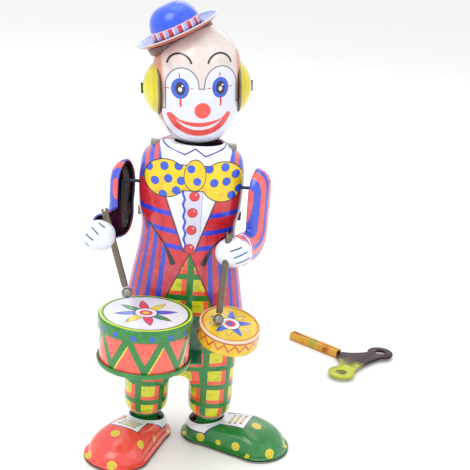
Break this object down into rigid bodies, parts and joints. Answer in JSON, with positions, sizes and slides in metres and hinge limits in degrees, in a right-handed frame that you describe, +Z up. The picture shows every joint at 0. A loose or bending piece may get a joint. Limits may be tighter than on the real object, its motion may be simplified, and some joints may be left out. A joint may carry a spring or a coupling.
{
  "type": "wind-up tin drummer toy",
  "caption": "Clockwork tinplate clown in a bowler hat that nods and beats a bass drum and a small drum with hinged arms, with its loose winding key.",
  "frame": {"origin": "middle of the footprint of toy and key, on the surface they stand on", "axes": "+Z up, +X to the onlooker's right, -Y towards the onlooker whom the clown faces"},
  "size_m": [0.1697, 0.1849, 0.2071],
  "materials": {
    "skin": "glossy litho print",
    "yellow_tin": "glossy litho print",
    "blue_tin": "glossy litho print",
    "brim_tin": "glossy litho print",
    "seat_tin": "glossy litho print",
    "coat_tin": "glossy litho print",
    "arm_tin": "glossy litho print",
    "plaid_tin": "glossy litho print",
    "coral_tin": "glossy litho print",
    "green_tin": "glossy litho print",
    "white_tin": "glossy litho print",
    "steel": "bright, lightly worn",
    "dark_steel": "dark lacquer",
    "spring_steel": "blued",
    "brass": "bright",
    "zinc_plate": "yellow passivated, iridescent"
  },
  "bodies": {
    "body": {"coat_front": "coat_tin", "coat_back": "coat_tin", "trousers_front": "plaid_tin", "trousers_back": "plaid_tin", "right_shoe": "coral_tin", "right_sole": "steel", "left_shoe": "green_tin", "left_sole": "steel", "drum_cap": "green_tin", "drum_shell": "coral_tin", "drum_pan": "green_tin", "small_drum_cap": "yellow_tin", "small_drum_pan": "yellow_tin", "drum_bracket": "green_tin", "clockwork_front_plate": "steel", "clockwork_back_plate": "steel", "lower_left_pillar": "steel", "lower_right_pillar": "steel", "upper_left_pillar": "steel", "upper_right_pillar": "steel", "rocker_pin": "steel", "mainspring": "spring_steel"},
    "head": {"rocker": "steel", "neck_plate": "steel", "face_shell": "skin", "rear_head_shell": "skin", "right_hair_puff": "yellow_tin", "right_hair_tab": "dark_steel", "left_hair_puff": "yellow_tin", "left_hair_tab": "dark_steel", "hat_crown": "blue_tin", "hat_brim": "brim_tin", "hat_seat_ring": "seat_tin"},
    "right_arm_body": {"right_arm": "arm_tin", "right_glove": "white_tin", "right_stick": "steel", "right_stick_ball": "steel", "right_shoulder_wire": "steel"},
    "left_arm_body": {"left_arm": "arm_tin", "left_glove": "white_tin", "left_stick": "steel", "left_stick_ball": "steel", "left_shoulder_wire": "steel"},
    "right_link": {"right_lift_link": "steel"},
    "left_link": {"left_lift_link": "steel"},
    "great_wheel_body": {"great_wheel": "brass"},
    "click_body": {"click": "steel"},
    "winding_body": {"winding_arbor": "steel", "ratchet_wheel": "steel"},
    "second_body": {"second_arbor": "steel", "second_wheel": "brass"},
    "crank_body": {"crank_arbor": "steel", "crank_wheel": "brass"},
    "fan_body": {"fan_arbor": "steel", "fan": "steel"},
    "key": {"key_tube": "zinc_plate", "key_handle": "zinc_plate"}
  },
  "joints": [
    {"name": "rocker_swing", "type": "hinge", "parent": "body", "child": "head", "pos_m": [-0.0407, -0.03575, 0.12], "axis": [0, 1, 0], "range_deg": [0, 4.8]},
    {"name": "right_arm_swing", "type": "hinge", "parent": "body", "child": "right_arm_body", "pos_m": [-0.0692, -0.04025, 0.1285], "axis": [1, 0, 0], "range_deg": [0, 10.44]},
    {"name": "left_arm_swing", "type": "hinge", "parent": "body", "child": "left_arm_body", "pos_m": [-0.0122, -0.04025, 0.1285], "axis": [1, 0, 0], "range_deg": [-10.44, 0]},
    {"name": "right_link_pivot", "type": "hinge", "parent": "head", "child": "right_link", "pos_m": [-0.05439, -0.034, 0.11943], "axis": [0, 1, 0], "range_deg": [-4.8, 0]},
    {"name": "left_link_pivot", "type": "hinge", "parent": "head", "child": "left_link", "pos_m": [-0.02701, -0.034, 0.12057], "axis": [0, 1, 0], "range_deg": [-4.8, 0]},
    {"name": "great_wheel_spin", "type": "hinge", "parent": "body", "child": "great_wheel_body", "pos_m": [-0.0407, -0.03175, 0.088], "axis": [0, 1, 0], "continuous": true},
    {"name": "second_spin", "type": "hinge", "parent": "body", "child": "second_body", "pos_m": [-0.0307, -0.03175, 0.09918], "axis": [0, 1, 0], "continuous": true},
    {"name": "crank_spin", "type": "hinge", "parent": "body", "child": "crank_body", "pos_m": [-0.0407, -0.03175, 0.10581], "axis": [0, 1, 0], "continuous": true},
    {"name": "fan_spin", "type": "hinge", "parent": "body", "child": "fan_body", "pos_m": [-0.0497, -0.03175, 0.11017], "axis": [0, 1, 0], "continuous": true},
    {"name": "winding_spin", "type": "hinge", "parent": "body", "child": "winding_body", "pos_m": [-0.0407, -0.03175, 0.088], "axis": [0, 1, 0], "continuous": true},
    {"name": "click_pivot", "type": "hinge", "parent": "great_wheel_body", "child": "click_body", "pos_m": [-0.0487, -0.03175, 0.088], "axis": [0, 1, 0], "range_deg": [0, 12], "stiffness_Nm_per_rad": 0.0005},
    {"name": "key_lift", "type": "slide", "parent": "body", "child": "key", "axis": [0, 0, 1], "range_m": [0, 0.06]}
  ],
  "couplings": [
    {"joint": "right_arm_swing", "follows": "rocker_swing", "ratio": 2.1746},
    {"joint": "left_arm_swing", "follows": "rocker_swing", "ratio": -2.1746},
    {"joint": "right_link_pivot", "follows": "rocker_swing", "ratio": -1},
    {"joint": "left_link_pivot", "follows": "rocker_swing", "ratio": -1},
    {"joint": "second_spin", "follows": "great_wheel_spin", "ratio": -4},
    {"joint": "crank_spin", "follows": "great_wheel_spin", "ratio": 12},
    {"joint": "fan_spin", "follows": "great_wheel_spin", "ratio": -36}
  ]
}
